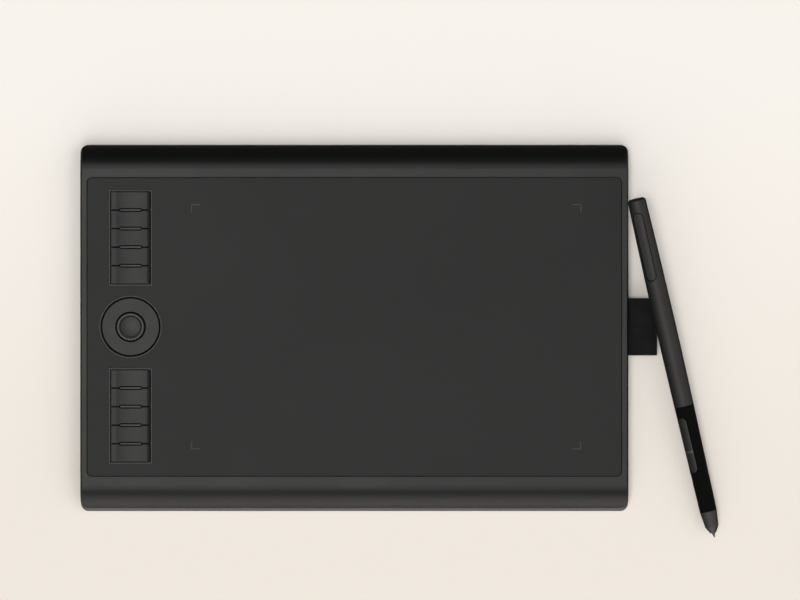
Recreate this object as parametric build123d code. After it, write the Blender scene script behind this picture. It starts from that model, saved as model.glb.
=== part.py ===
from build123d import *
import math
import os

# Graphics tablet with a touch ring, ten keys, a pen loop and its pen. All sizes in millimetres.
# The origin is on the desk under the middle of the case, +X to the right, +Y to the rear, +Z up.

# Case, outside
case_width = 360.0
case_depth = 241.0
case_thickness = 10.0
case_corner_radius = 5.0
corner_relief = 0.02
case_edge_chamfer = 1.0
rear_band_width = 15.9
front_band_width = 15.0
band_drop = 6.6
front_rim_width = 2.4

# Case, walls
case_wall = 1.8
deck_wall = 1.6

# Bottom cover
cover_floor = 1.6
cover_rim_height = 2.2
cover_edge_chamfer = 0.6
front_rim_chamfer = 1.3
lip_height = 1.0
lip_wall = 1.2
lip_clearance = 0.15
rib_wall = 1.2
ribs_along_depth = 5
ribs_along_width = 3
rib_clearance = 0.05

# Rubber feet: one near each corner and one in the middle
foot_radius = 8.0
foot_height = 1.0
foot_seat_depth = 0.8
foot_clearance = 0.15
foot_inset = 26.0

# Case screws, in a row along the front and a row along the rear
screws_per_row = 4
screw_inset_side = 14.0
screw_inset_rear = 14.0
screw_radius = 1.0
screw_head_radius = 1.9
screw_head_height = 1.1
screw_head_sink = 0.4
screw_length = 5.4
screw_clearance = 0.2
boss_radius = 2.8
cover_post_height = 1.4
thread_clearance = 0.01
edge_search_margin = 0.01

# Drawing sheet, let into the top of the case
sheet_margin_side = 4.7
sheet_margin_rear = 21.75
sheet_margin_front = 23.5
sheet_thickness = 0.8
sheet_sink = 0.2
sheet_corner_radius = 3.0
sheet_groove = 0.45
window_lip_width = 0.9
window_lip_height = 0.15

# Corner marks of the active area, let into the sheet
active_inset_left = 68.2
active_inset_right = 26.3
active_inset_ends = 17.4
mark_arm_width = 6.0
mark_arm_depth = 5.4
mark_line = 0.6
mark_depth = 0.15

# Touch ring and the button in its middle
ring_inset = 28.35
ring_outer_radius = 18.6
ring_bore_radius = 10.0
ring_thickness = 1.2
ring_sink = 0.4
ring_gap = 1.15
ring_ledge = 2.9
ring_board_thickness = 0.8
ring_board_width = 4.4
ring_board_clearance = 0.15
button_radius = 8.9
button_rise = 0.45
button_rim_width = 1.4
button_rim_crown = 0.08
button_groove_width = 0.5
button_groove_depth = 0.3
button_dish_depth = 0.45
button_flange_radius = 10.8
button_flange_thickness = 0.9
button_flange_gap = 0.3
button_post_radius = 1.8
button_travel = 0.6

# Keys, in a block behind the ring and a block in front of it
keys_per_block = 5
block_inset_ends = 8.98
block_gap_to_ring = 8.25
key_width = 25.4
key_gap = 0.9
key_window_gap = 0.6
key_travel = 0.7
key_ridge_width = 3.3
key_ridge_rise = 0.5
key_dip_rise = 0.15
key_dip_share = 0.3
key_peak_rise = 0.9
key_flank_width = 1.7
key_flank_drop = 0.4
key_side_wall = 3.0
key_roof = 1.3
key_flange_reach = 1.4
key_flange_thickness = 0.9
key_flange_depth = 8.0
key_flange_gap = 0.2
key_post_radius = 1.8

# Raised pills on the lines between the keys, and the frame that carries them
pill_length = 13.9
pill_width = 1.2
pill_gap = 0.6
pill_rise = 0.2
divider_plate = 0.5
divider_gap = 0.1
divider_rail = 1.0
divider_rail_gap = 0.3
divider_hole_gap = 0.6

# Control board with its switches, chips and socket
board_thickness = 1.0
board_post_height = 1.4
board_margin_left = 3.4
board_reach_right = 21.2
board_end_reach = 2.5
board_screw_inset = 3.0
board_screw_radius = 0.8
board_screw_length = 2.2
board_screw_head_radius = 1.5
board_screw_head_height = 0.7
board_post_radius = 2.2
switch_height = 0.8
switch_radius = 2.3
press_gap = 0.05
chip_size = 7.0
chip_height = 0.9
chip_inset = 7.5
chip_pitch = 22.0

# Socket for the computer's cable
socket_width = 8.94
socket_height = 3.2
socket_length = 7.4
socket_shell = 0.3
socket_tongue = 0.7
socket_tongue_width = 6.7
socket_tongue_recess = 1.0
socket_back = 1.2
socket_from_rear = 46.0
socket_clearance = 0.2

# Sensor board under the active area, its shield and the flat cables
sensor_reach = 6.0
sensor_thickness = 0.8
shield_thickness = 0.5
shield_setback = 4.5
ribbon_thickness = 0.2
ribbon_width = 20.0
ribbon_offset = 45.0
ribbon_landing = 4.0
ring_ribbon_width = 6.0
ring_ribbon_tab = 2.5

# Elastic pen loop on the right side
loop_width = 37.6
loop_reach = 19.2
loop_height = 8.2
loop_band = 1.1
loop_shoulder_share = 0.8
loop_centre_height = 5.4
loop_slot_gap = 0.2
loop_tail_length = 9.0
anchor_setback = 2.4
anchor_wall = 2.0
anchor_clearance = 0.05

# Pen, outside
pen_length = 229.2
pen_tail_radius = 5.95
pen_tail_chamfer = 1.3
pen_belly_radius = 6.72
pen_belly_place = 92.0
pen_seam_radius = 6.45
barrel_length = 139.5
grip_length = 71.6
grip_front_radius = 5.6
nose_front_radius = 4.4
nose_chamfer_length = 4.3
nose_tip_radius = 1.9
nib_radius = 1.0
nib_tip_radius = 0.35
nib_stick_out = 3.3
nib_clearance = 0.1
nib_travel = 0.4

# Pen, walls and inside
pen_bore_radius = 4.7
pen_tail_wall = 2.5
pen_fit = 0.05
grip_wall = 1.3
core_bore_radius = 3.2
core_overlap = 8.0
spigot_radius = 3.9
spigot_length = 5.0
plate_start = 8.8
plate_length = 46.0
plate_width = 7.3
plate_angle = 22.0
plate_recess = 0.75
plate_thickness = 0.45
plate_gap = 0.45
pen_board_length = 60.0
pen_board_thickness = 0.8
pen_board_drop = 1.0
pen_switch_height = 1.1
pen_switch_width = 3.0
cell_gap = 0.5
sensor_cell_length = 6.0
holder_length = 5.5
holder_radius = 1.8
holder_gap = 0.5
coil_gap = 1.5
coil_core_radius = 2.2
coil_core_length = 23.0
coil_core_bore = 1.3
coil_end_length = 3.0

# Pen side buttons
pen_slot_place = 6.9
pen_slot_length = 37.7
pen_slot_width = 6.9
pen_slot_angle = 40.0
pen_button_split = 23.5
pen_button_gap = 0.5
pen_split_gap = 0.3
pen_button_rise = 0.25
pen_button_travel = 0.35
pen_button_lift = 0.1
pen_stem_width = 3.4
pen_stem_length = 6.0
pen_stem_gap = 0.3
pen_hook_length = 1.5
pen_hook_thickness = 0.6

# Where the pen lies: across the outer end of the loop, with its front end on the desk
pen_tail_beside_case = 4.7
pen_tail_from_rear = 35.7
pen_turn = 13.2
pen_rest_gap = 0.3

# Heights worked out from the sizes above
cover_low = foot_height
cover_floor_top = cover_low + cover_floor
seam_height = cover_low + cover_rim_height
case_top = cover_low + case_thickness
sheet_top = case_top - sheet_sink
sheet_low = sheet_top - sheet_thickness
deck_low = sheet_low - deck_wall
board_low = cover_floor_top + board_post_height
board_top = board_low + board_thickness
switch_top = board_top + switch_height
key_flange_top = deck_low - key_flange_gap
key_low = key_flange_top - key_flange_thickness
key_post_low = switch_top + key_travel + press_gap
divider_top = key_low - key_travel - divider_gap
divider_low = divider_top - divider_plate
ring_top = sheet_top - ring_sink
ring_low = ring_top - ring_thickness
button_flange_top = ring_low - button_flange_gap
button_low = button_flange_top - button_flange_thickness
button_post_low = switch_top + button_travel + press_gap
sensor_low = deck_low - sensor_thickness
shield_low = sensor_low - shield_thickness
screw_head_low = cover_low + screw_head_sink
screw_head_top = screw_head_low + screw_head_height
cover_post_top = cover_floor_top + cover_post_height
loop_low = loop_centre_height - loop_band
loop_high = loop_centre_height + loop_band

# Plan positions worked out from the sizes above
case_right = case_width / 2
case_rear = case_depth / 2
case_front = -case_rear + front_rim_width
sheet_right = case_right - sheet_margin_side
sheet_rear = case_rear - sheet_margin_rear
sheet_front = -case_rear + sheet_margin_front
sheet_depth = sheet_rear - sheet_front
sheet_middle = (sheet_rear + sheet_front) / 2
column_x = -sheet_right + ring_inset
ring_window_radius = ring_outer_radius + ring_gap
block_length = sheet_depth / 2 - block_inset_ends - ring_window_radius - block_gap_to_ring
key_pitch = block_length / keys_per_block
block_offset = ring_window_radius + block_gap_to_ring + block_length / 2
block_middles = [sheet_middle + block_offset, sheet_middle - block_offset]
window_width = key_width + 2 * key_window_gap
window_length = block_length - key_gap + 2 * key_window_gap
active_left = -sheet_right + active_inset_left
active_right = sheet_right - active_inset_right
active_rear = sheet_rear - active_inset_ends
active_front = sheet_front + active_inset_ends
board_left = -case_right + board_margin_left
board_right = column_x + board_reach_right
board_rear = sheet_middle + block_offset + block_length / 2 + board_end_reach
board_front = sheet_middle - block_offset - block_length / 2 - board_end_reach
sensor_left = active_left - sensor_reach
sensor_right = active_right + sensor_reach
sensor_rear = active_rear + sensor_reach
sensor_front = active_front - sensor_reach
socket_middle = case_rear - socket_from_rear
grip_end = barrel_length + grip_length
nose_end = pen_length - nib_stick_out

# The pen's height and tilt: its belly clears the rounded end of the loop, its grip's front clears the desk
loop_end_radius = loop_height / 2
loop_end_x = case_right + loop_reach - loop_end_radius
loop_rear = sheet_middle + loop_width / 2
pen_tail_x = case_right + pen_tail_beside_case
pen_tail_y = case_rear - pen_tail_from_rear
pen_turn_radians = math.radians(pen_turn)
crossing_place = (pen_tail_y - loop_rear) / math.cos(pen_turn_radians)
crossing_x = pen_tail_x + crossing_place * math.sin(pen_turn_radians)
crossing_reach = loop_end_radius + pen_belly_radius / math.cos(pen_turn_radians) + pen_rest_gap
crossing_aside = min(crossing_x - loop_end_x, crossing_reach)
crossing_height = loop_centre_height + math.sqrt(crossing_reach**2 - crossing_aside**2)
front_height = grip_front_radius + pen_rest_gap
pen_tilt_radians = math.asin((crossing_height - front_height) / (grip_end - crossing_place))
pen_tail_height = crossing_height + crossing_place * math.sin(pen_tilt_radians)
pen_place = (
    Pos(pen_tail_x, pen_tail_y, pen_tail_height)
    * Rot(0, 0, pen_turn)
    * Rot(math.degrees(pen_tilt_radians), 0, 0)
)


# Helpers


def block(x_low, x_high, y_low, y_high, z_low, z_high, corner=0.0):
    """A box between two corners, with its upright edges rounded by corner."""
    width = x_high - x_low
    depth = y_high - y_low
    outline = RectangleRounded(width, depth, corner) if corner > 0 else Rectangle(width, depth)
    middle = Pos((x_low + x_high) / 2, (y_low + y_high) / 2, z_low)
    return middle * extrude(outline, z_high - z_low)


def post(x, y, z_low, z_high, radius):
    """An upright cylinder."""
    return Pos(x, y, z_low) * extrude(Circle(radius), z_high - z_low)


def turned(outline):
    """A turned solid about the pen's axis, from an outline of (radius, -place) edges."""
    return revolve(make_face(outline), Axis.Y)


def turned_tube(outer, inner, start, end):
    """A straight tube on the pen's axis between two places, measured from the tail."""
    outline = Polyline((inner, -start), (outer, -start), (outer, -end), (inner, -end), close=True)
    return turned(outline)


def case_profile(inset, low):
    """The case's outline from front to rear, inset from its outside: a flat top between two curved bands."""
    edges = []
    corners = []
    for direction, wall, width in (
        (-1, case_front, front_band_width),
        (1, case_rear, rear_band_width),
    ):
        radius = (width**2 + band_drop**2) / (2 * band_drop)
        flat_end = wall - direction * width
        reach = width - inset
        inner_radius = radius - inset
        sweep = math.asin(reach / inner_radius)
        centre = case_top - radius
        top_point = (flat_end, case_top - inset)
        middle = (
            flat_end + direction * inner_radius * math.sin(sweep / 2),
            centre + inner_radius * math.cos(sweep / 2),
        )
        end = (wall - direction * inset, centre + inner_radius * math.cos(sweep))
        foot = (wall - direction * inset, low)
        edges.append(ThreePointArc(top_point, middle, end))
        edges.append(Line(end, foot))
        corners.append((top_point, foot))
    edges.append(Line(corners[0][0], corners[1][0]))
    edges.append(Line(corners[0][1], corners[1][1]))
    return make_face(edges)


def row_places(count, low, high):
    """Evenly spaced places between two ends, both included."""
    return [low + i * (high - low) / (count - 1) for i in range(count)]


def case_screw_places():
    """The case screws' places: a front row and a rear row."""
    across = row_places(screws_per_row, -case_right + screw_inset_side, case_right - screw_inset_side)
    along = [-case_rear + screw_inset_rear, case_rear - screw_inset_rear]
    return [(x, y) for x in across for y in along]


def foot_places():
    """The feet's places: four corners and the middle."""
    reach_x = case_right - foot_inset
    reach_y = case_rear - foot_inset
    return [(x, y) for x in (-reach_x, reach_x) for y in (-reach_y, reach_y)] + [(0.0, 0.0)]


def board_screw_places():
    """The control board's screws, one near each of its corners."""
    across = (board_left + board_screw_inset, board_right - board_screw_inset)
    along = (board_front + board_screw_inset, board_rear - board_screw_inset)
    return [(x, y) for x in across for y in along]


def key_middles():
    """The keys' middles along the column, from the rear to the front."""
    first = (keys_per_block - 1) / 2
    return [middle + (first - i) * key_pitch for middle in block_middles for i in range(keys_per_block)]


def pill_middles(middle):
    """The pills' places in one block, on the lines between its keys."""
    first = (keys_per_block - 2) / 2
    return [middle + (first - i) * key_pitch for i in range(keys_per_block - 1)]


def key_surface(rise, low):
    """A key's cross-section from left to right: ridge, scoop, peak and steep flank."""
    left = -key_width / 2
    right = key_width / 2
    ridge = sheet_top + key_ridge_rise + rise
    dip = sheet_top + key_dip_rise + rise
    peak = sheet_top + key_peak_rise + rise
    ridge_end = left + key_ridge_width
    peak_x = right - key_flank_width
    dip_x = ridge_end + key_dip_share * (peak_x - ridge_end)
    flank_low = sheet_top - key_flank_drop + rise
    return make_face(
        [
            Line((left, low), (left, ridge)),
            Line((left, ridge), (ridge_end, ridge)),
            ThreePointArc((ridge_end, ridge), (dip_x, dip), (peak_x, peak)),
            Line((peak_x, peak), (right, flank_low)),
            Line((right, flank_low), (right, low)),
            Line((right, low), (left, low)),
        ]
    )


# Case


def make_top_case():
    """The upper shell: curved bands, a recess for the sheet, windows for keys and ring, and screw bosses."""
    outside = extrude(Plane.YZ * case_profile(0, seam_height), case_right, both=True)
    side_edges = outside.edges().filter_by(
        lambda edge: abs(edge.center().X) > case_right - case_wall
        and (edge.geom_type == GeomType.CIRCLE or edge.center().Z > case_top - case_wall)
    )
    outside = chamfer(side_edges, case_edge_chamfer)
    outside &= block(
        -case_right,
        case_right,
        case_front - corner_relief,
        case_rear + corner_relief,
        cover_low,
        case_top,
        case_corner_radius,
    )
    inside = extrude(Plane.YZ * case_profile(case_wall, cover_low), case_right - case_wall, both=True)
    inside &= block(
        -case_right + case_wall,
        case_right - case_wall,
        case_front + case_wall - corner_relief,
        case_rear - case_wall + corner_relief,
        cover_low,
        deck_low,
        case_corner_radius - case_wall,
    )
    body = outside - inside
    for x, y in case_screw_places():
        body += post(x, y, cover_post_top, deck_low + deck_wall / 2, boss_radius)
        hole_top = screw_head_top + screw_length + screw_clearance
        body -= post(x, y, cover_post_top, hole_top, screw_radius + thread_clearance)
    body -= block(
        -sheet_right - sheet_groove,
        sheet_right + sheet_groove,
        sheet_front - sheet_groove,
        sheet_rear + sheet_groove,
        sheet_low,
        case_top,
        sheet_corner_radius + sheet_groove,
    )
    for middle in block_middles:
        body -= block(
            column_x - window_width / 2,
            column_x + window_width / 2,
            middle - window_length / 2,
            middle + window_length / 2,
            cover_low,
            case_top,
        )
    body -= post(column_x, sheet_middle, ring_low, case_top, ring_window_radius)
    body -= post(column_x, sheet_middle, cover_low, case_top, ring_outer_radius - ring_ledge)
    body -= block(
        case_right - 2 * case_wall,
        case_right + case_wall,
        sheet_middle - loop_width / 2 - loop_slot_gap,
        sheet_middle + loop_width / 2 + loop_slot_gap,
        loop_low - loop_slot_gap,
        loop_high + loop_slot_gap,
    )
    return body - socket_hole()


def make_bottom_cover():
    """The lower shell: floor, rim, inner lip, rib grid, foot seats, screw posts and board posts."""
    body = block(
        -case_right, case_right, -case_rear, case_rear, cover_low, seam_height, case_corner_radius
    )
    body = chamfer(body.faces().sort_by(Axis.Z)[0].edges(), cover_edge_chamfer)
    front_edge = (
        body.edges()
        .filter_by(lambda edge: abs(edge.center().Z - seam_height) < edge_search_margin)
        .sort_by(Axis.Y)[0]
    )
    body = chamfer(front_edge, front_rim_chamfer)
    lip_outside = case_wall + lip_clearance
    lip_inside = lip_outside + lip_wall
    lip = block(
        -case_right + lip_outside,
        case_right - lip_outside,
        case_front + lip_outside - corner_relief,
        case_rear - lip_outside + corner_relief,
        cover_floor_top,
        seam_height + lip_height,
        case_corner_radius - case_wall,
    )
    body += lip & extrude(Plane.YZ * case_profile(lip_outside, cover_low), case_right, both=True)
    body -= block(
        -case_right + lip_inside,
        case_right - lip_inside,
        case_front + lip_inside,
        case_rear - lip_inside,
        cover_floor_top,
        case_top,
        case_corner_radius - case_wall,
    )
    rib_top = shield_low - rib_clearance
    shield_left = sensor_left + shield_setback
    for x in row_places(ribs_along_depth, shield_left + rib_wall, sensor_right - rib_wall):
        body += block(
            x - rib_wall / 2, x + rib_wall / 2, sensor_front, sensor_rear, cover_floor_top, rib_top
        )
    for y in row_places(ribs_along_width, sensor_front + rib_wall, sensor_rear - rib_wall):
        body += block(
            shield_left, sensor_right, y - rib_wall / 2, y + rib_wall / 2, cover_floor_top, rib_top
        )
    for x, y in case_screw_places():
        body += post(x, y, cover_floor_top, cover_post_top, boss_radius)
        body -= post(x, y, cover_low, cover_post_top, screw_radius + screw_clearance)
        body -= post(x, y, cover_low, screw_head_top, screw_head_radius + screw_clearance)
    for x, y in board_screw_places():
        body += post(x, y, cover_floor_top, board_low, board_post_radius)
        low = board_top - board_screw_length - screw_clearance
        body -= post(x, y, low, board_low, board_screw_radius + thread_clearance)
    for x, y in foot_places():
        body -= post(x, y, cover_low, cover_low + foot_seat_depth, foot_radius + foot_clearance)
    return body


def make_rubber_feet():
    """Five round feet, each let into the cover."""
    return [post(x, y, 0, cover_low + foot_seat_depth, foot_radius) for x, y in foot_places()]


def make_case_screws():
    """The screws that hold the two shells together."""
    screws = []
    for x, y in case_screw_places():
        head = post(x, y, screw_head_low, screw_head_top, screw_head_radius)
        shank = post(x, y, screw_head_top, screw_head_top + screw_length, screw_radius)
        slot_low = screw_head_low - screw_head_height / 2
        socket = post(x, y, slot_low, screw_head_low + screw_head_height / 2, screw_radius)
        screws.append(head + shank - socket)
    return screws


# Drawing surface


def window_outlines(grow):
    """The sheet's windows for the keys and the ring, each grown on every side, as flat outlines."""
    outlines = [
        Pos(column_x, middle) * Rectangle(window_width + 2 * grow, window_length + 2 * grow)
        for middle in block_middles
    ]
    outlines.append(Pos(column_x, sheet_middle) * Circle(ring_window_radius + grow))
    return outlines


def make_area_marks(low=sheet_top - mark_depth):
    """Four corner marks, each an L whose corner points outwards."""
    marks = []
    for x, inward_x in ((active_left, 1), (active_right, -1)):
        for y, inward_y in ((active_front, 1), (active_rear, -1)):
            arm_x = sorted((x, x + inward_x * mark_arm_width))
            line_y = sorted((y, y + inward_y * mark_line))
            line_x = sorted((x, x + inward_x * mark_line))
            arm_y = sorted((y, y + inward_y * mark_arm_depth))
            across = block(*arm_x, *line_y, low, sheet_top)
            along = block(*line_x, *arm_y, low, sheet_top)
            marks.append(across + along)
    return marks


def make_drawing_sheet():
    """The drawing sheet, with its windows, a thin lip round each, and the seats of the corner marks."""
    sheet = block(
        -sheet_right, sheet_right, sheet_front, sheet_rear, sheet_low, sheet_top, sheet_corner_radius
    )
    for outline in window_outlines(window_lip_width):
        sheet += Pos(0, 0, sheet_low) * extrude(outline, sheet_thickness + window_lip_height)
    for outline in window_outlines(0):
        sheet -= Pos(0, 0, sheet_low) * extrude(outline, case_thickness)
    for mark in make_area_marks():
        sheet -= mark
    return sheet


# Keys and ring


def pill_prism(y, grow, low, high):
    """An upright bar with rounded ends on a line between two keys."""
    outline = SlotOverall(pill_length + 2 * grow, pill_width + 2 * grow)
    return Pos(column_x, y, low) * extrude(outline, high - low)


def make_key(y):
    """One key: scooped cap with notches for the pills, end flanges, and a post over its switch."""
    depth = key_pitch - key_gap
    cap = extrude(Plane.XZ * key_surface(0, key_low), depth / 2, both=True)
    roof_low = sheet_top + key_dip_rise - key_roof
    cap -= block(
        -key_width / 2 + key_side_wall,
        key_width / 2 - key_side_wall,
        -depth / 2 + key_side_wall,
        depth / 2 - key_side_wall,
        key_low,
        roof_low,
    )
    cap += block(
        -key_width / 2 - key_flange_reach,
        -key_width / 2 + key_side_wall,
        -key_flange_depth / 2,
        key_flange_depth / 2,
        key_low,
        key_flange_top,
    )
    cap += block(
        key_width / 2 - key_side_wall,
        key_width / 2 + key_flange_reach,
        -key_flange_depth / 2,
        key_flange_depth / 2,
        key_low,
        key_flange_top,
    )
    cap += post(0, 0, key_post_low, roof_low + key_roof / 2, key_post_radius)
    cap = Pos(column_x, y, 0) * cap
    for middle in block_middles:
        for pill in pill_middles(middle):
            if abs(pill - y) < key_pitch:
                cap -= pill_prism(pill, pill_gap, cover_low, case_top + case_thickness)
    return cap


def make_key_divider(middle):
    """The frame under one block of keys, with the pills that stand up between them."""
    rail_inside = key_width / 2 + key_flange_reach + divider_rail_gap
    rail_outside = rail_inside + divider_rail
    half_length = window_length / 2
    frame = block(-rail_outside, rail_outside, -half_length, half_length, divider_low, deck_low)
    frame -= block(-rail_inside, rail_inside, -half_length, half_length, divider_top, deck_low)
    frame = Pos(column_x, middle, 0) * frame
    for y in key_middles():
        if abs(y - middle) < half_length:
            hole_radius = key_post_radius + divider_hole_gap
            frame -= post(column_x, y, divider_low, divider_top, hole_radius)
    skin = extrude(Plane.XZ * key_surface(pill_rise, divider_low), block_length, both=True)
    skin = Pos(column_x, middle, 0) * skin
    for pill in pill_middles(middle):
        frame += pill_prism(pill, 0, divider_low, case_top + case_thickness) & skin
    return frame


def make_key_switches(middle):
    """The low round switches under one block of keys."""
    return [
        post(column_x, y, board_top, switch_top, switch_radius)
        for y in key_middles()
        if abs(y - middle) < block_length / 2
    ]


def make_touch_ring():
    """The flat touch ring, seated on a ledge of the case."""
    ring = post(column_x, sheet_middle, ring_low, ring_top, ring_outer_radius)
    return ring - post(column_x, sheet_middle, ring_low, ring_top, ring_bore_radius)


def ring_board_radii():
    """The inner and outer radius of the ring's sensor board."""
    outer = ring_outer_radius - ring_ledge - ring_board_clearance
    return outer - ring_board_width, outer


def make_ring_board():
    """The ring's sensor board, glued under the ring."""
    inner, outer = ring_board_radii()
    low = ring_low - ring_board_thickness
    return post(column_x, sheet_middle, low, ring_low, outer) - post(
        column_x, sheet_middle, low, ring_low, inner
    )


def make_ring_button():
    """The button in the ring: raised crowned rim, thin groove and a concave dish, with a flange and a post."""
    rim_top = sheet_top + button_rise
    rim_side = rim_top - button_rim_crown
    rim_inner = button_radius - button_rim_width
    rim_middle = (button_radius + rim_inner) / 2
    groove_floor = rim_side - button_groove_depth
    dish_edge = rim_inner - button_groove_width
    dish_low = rim_side - button_dish_depth
    dish_radius = (dish_edge**2 + button_dish_depth**2) / (2 * button_dish_depth)
    dish_sweep = math.asin(dish_edge / dish_radius)
    dish_middle = (
        dish_radius * math.sin(dish_sweep / 2),
        dish_low + dish_radius * (1 - math.cos(dish_sweep / 2)),
    )
    outline = [
        Line((0, button_low), (button_flange_radius, button_low)),
        Line((button_flange_radius, button_low), (button_flange_radius, button_flange_top)),
        Line((button_flange_radius, button_flange_top), (button_radius, button_flange_top)),
        Line((button_radius, button_flange_top), (button_radius, rim_side)),
        ThreePointArc((button_radius, rim_side), (rim_middle, rim_top), (rim_inner, rim_side)),
        Line((rim_inner, rim_side), (rim_inner, groove_floor)),
        Line((rim_inner, groove_floor), (dish_edge, groove_floor)),
        Line((dish_edge, groove_floor), (dish_edge, rim_side)),
        ThreePointArc((dish_edge, rim_side), dish_middle, (0, dish_low)),
        Line((0, dish_low), (0, button_low)),
    ]
    body = revolve(Plane.XZ * make_face(outline), Axis.Z)
    body += post(0, 0, button_post_low, button_flange_top, button_post_radius)
    return Pos(column_x, sheet_middle, 0) * body


def make_ring_switch():
    """The switch under the ring's button."""
    return post(column_x, sheet_middle, board_top, switch_top, switch_radius)


# Electronics


def make_control_board():
    """The long board under the key column."""
    board = block(board_left, board_right, board_front, board_rear, board_low, board_top)
    for x, y in board_screw_places():
        board -= post(x, y, board_low, board_top, board_screw_radius + screw_clearance)
    return board


def make_board_screws():
    """The screws that hold the control board on its posts."""
    screws = []
    for x, y in board_screw_places():
        head = post(x, y, board_top, board_top + board_screw_head_height, board_screw_head_radius)
        shank = post(x, y, board_top - board_screw_length, board_top, board_screw_radius)
        screws.append(head + shank)
    return screws


def make_control_chips():
    """Three chips in a row beside the keys."""
    x = board_left + chip_inset
    return [
        block(
            x - chip_size / 2,
            x + chip_size / 2,
            sheet_middle + i * chip_pitch - chip_size / 2,
            sheet_middle + i * chip_pitch + chip_size / 2,
            board_top,
            board_top + chip_height,
        )
        for i in (-1, 0, 1)
    ]


def socket_shape(grow, start, length):
    """A flat-sided round-ended bar along X at the socket's place, grown on every side."""
    outline = SlotOverall(socket_width + 2 * grow, socket_height + 2 * grow)
    middle = Pos(start, socket_middle, board_top + socket_height / 2)
    return middle * extrude(Plane.YZ * outline, length)


def make_usb_socket():
    """The socket: a round-ended metal shell with a tongue inside, open at the case's left side."""
    shell = socket_shape(0, -case_right, socket_length)
    shell -= socket_shape(-socket_shell, -case_right, socket_length - socket_back)
    tongue = block(
        -case_right + socket_tongue_recess,
        -case_right + socket_length - socket_back,
        socket_middle - socket_tongue_width / 2,
        socket_middle + socket_tongue_width / 2,
        board_top + (socket_height - socket_tongue) / 2,
        board_top + (socket_height + socket_tongue) / 2,
    )
    return shell + tongue


def socket_hole():
    """The hole in the case's left wall that the socket stands in."""
    return socket_shape(socket_clearance, -case_right - case_wall, 3 * case_wall)


def make_sensor_board():
    """The board that senses the pen, glued under the deck."""
    return block(sensor_left, sensor_right, sensor_front, sensor_rear, sensor_low, deck_low)


def make_shield_plate():
    """The steel sheet under the sensor board."""
    return block(
        sensor_left + shield_setback, sensor_right, sensor_front, sensor_rear, shield_low, sensor_low
    )


def make_sensor_ribbon():
    """The flat cable from the sensor board's left edge down to the control board."""
    start = sensor_left + shield_setback - rib_wall / 2
    high = sensor_low
    low = board_top + ribbon_thickness
    outline = Polyline(
        (start, high),
        (sensor_left, high),
        (board_right, low),
        (board_right - ribbon_landing, low),
        (board_right - ribbon_landing, low - ribbon_thickness),
        (board_right, low - ribbon_thickness),
        (sensor_left, high - ribbon_thickness),
        (start, high - ribbon_thickness),
        close=True,
    )
    strip = extrude(Plane.XZ * make_face(outline), ribbon_width / 2, both=True)
    return Pos(0, sheet_middle + ribbon_offset, 0) * strip


def make_ring_ribbon():
    """The short flat cable from the ring's sensor board down to the control board."""
    _, outer = ring_board_radii()
    high = ring_low - ring_board_thickness
    start = outer - ring_ribbon_tab
    end = outer + ring_ribbon_tab
    outline = Polyline(
        (start, high),
        (outer, high),
        (outer, board_top + ribbon_thickness),
        (end, board_top + ribbon_thickness),
        (end, board_top),
        (outer - ribbon_thickness, board_top),
        (outer - ribbon_thickness, high - ribbon_thickness),
        (start, high - ribbon_thickness),
        close=True,
    )
    strip = extrude(Plane.XZ * make_face(outline), ring_ribbon_width / 2, both=True)
    return Pos(column_x, sheet_middle, 0) * strip


# Pen loop


def make_pen_loop():
    """The elastic loop: a band that swells into an open drop shape, its two ends stacked in the case."""
    neck = case_right
    crown = loop_end_x
    half = loop_height / 2
    shoulder = ((neck + crown) / 2, loop_band + loop_shoulder_share * (half - loop_band))
    outline = make_face(
        [
            Line((neck, -loop_band), (neck, loop_band)),
            ThreePointArc((neck, loop_band), shoulder, (crown, half)),
            ThreePointArc((crown, half), (crown + half, 0), (crown, -half)),
            ThreePointArc((crown, -half), (shoulder[0], -shoulder[1]), (neck, -loop_band)),
        ]
    )
    inside = offset(outline, -loop_band)
    tail_end = neck - case_wall - loop_tail_length
    tails = Pos((tail_end + neck) / 2, 0) * Rectangle(neck - tail_end, 2 * loop_band)
    band = outline - inside + tails
    solid = extrude(Plane.XZ * band, loop_width / 2, both=True)
    return Pos(0, sheet_middle, loop_centre_height) * solid


def make_loop_anchor():
    """The moulded bar that grips the loop's ends, clamped between the cover's floor and the deck."""
    right = case_right - case_wall - anchor_setback
    left = case_right - case_wall - loop_tail_length - anchor_wall
    half = loop_width / 2
    bar = block(
        left,
        right,
        sheet_middle - half - anchor_wall,
        sheet_middle + half + anchor_wall,
        cover_floor_top,
        deck_low - anchor_clearance,
    )
    return bar - block(
        case_right - case_wall - loop_tail_length,
        right,
        sheet_middle - half,
        sheet_middle + half,
        loop_low,
        loop_high,
    )


# Pen, drawn along -Y from its tail and then laid in place


def barrel_outline(inset):
    """The barrel's outside as edges of (radius, -place), inset from its surface."""
    tail = -inset
    shoulder = (pen_tail_radius - inset, -pen_tail_chamfer - inset)
    edge = (pen_tail_radius - pen_tail_chamfer, tail)
    seam = (pen_seam_radius - inset, -barrel_length)
    return [
        Line((0, tail), edge),
        Line(edge, shoulder),
        ThreePointArc(shoulder, (pen_belly_radius - inset, -pen_belly_place), seam),
        Line(seam, (0, -barrel_length)),
        Line((0, -barrel_length), (0, tail)),
    ]


def grip_cone(inset, start, end):
    """A solid cone along the grip, inset from its outside, between two places."""
    slope = (grip_front_radius - pen_seam_radius) / grip_length
    start_radius = pen_seam_radius - inset + slope * (start - barrel_length)
    end_radius = pen_seam_radius - inset + slope * (end - barrel_length)
    return turned(
        Polyline((0, -start), (start_radius, -start), (end_radius, -end), (0, -end), close=True)
    )


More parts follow.
